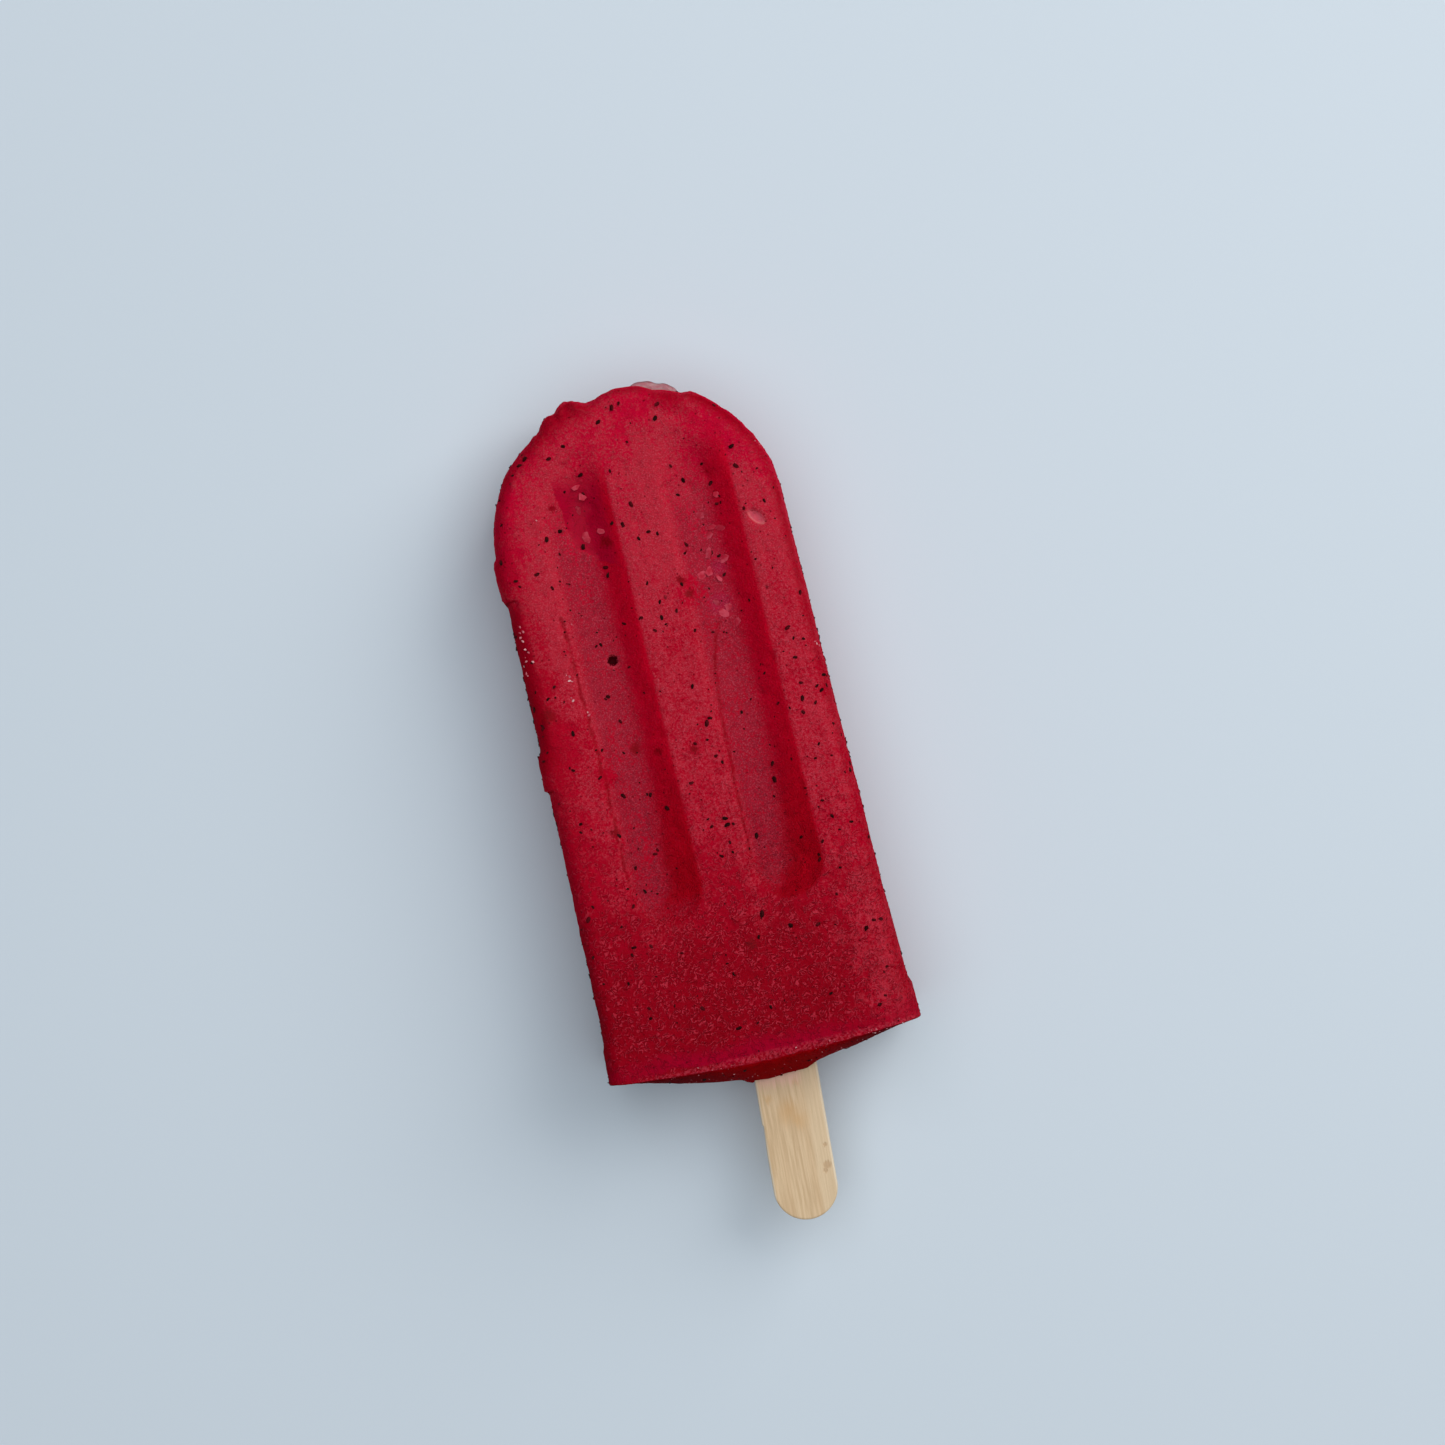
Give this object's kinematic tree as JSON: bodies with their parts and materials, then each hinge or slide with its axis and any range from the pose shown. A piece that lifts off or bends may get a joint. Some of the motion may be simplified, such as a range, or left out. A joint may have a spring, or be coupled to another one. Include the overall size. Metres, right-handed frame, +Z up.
{
  "type": "ice pop",
  "caption": "Slab-shaped fruit ice pop with a round tip and long flutes in each face, lying flat, frozen round a flat wooden stick with rounded ends",
  "frame": {"origin": "on the surface it lies on, under the middle of the whole length, stick included", "axes": "+Y from the stick's free end to the round tip, +X to the right of the pop seen from above, +Z up out of the face that shows"},
  "size_m": [0.0494, 0.1323, 0.0246],
  "materials": {
    "berry_ice": "frozen berry puree, satin with frosted and wet patches, dark seeds",
    "stick_wood": "bare pale birch"
  },
  "bodies": {
    "root": {"ice": "berry_ice", "stick": "stick_wood"}
  },
  "joints": []
}
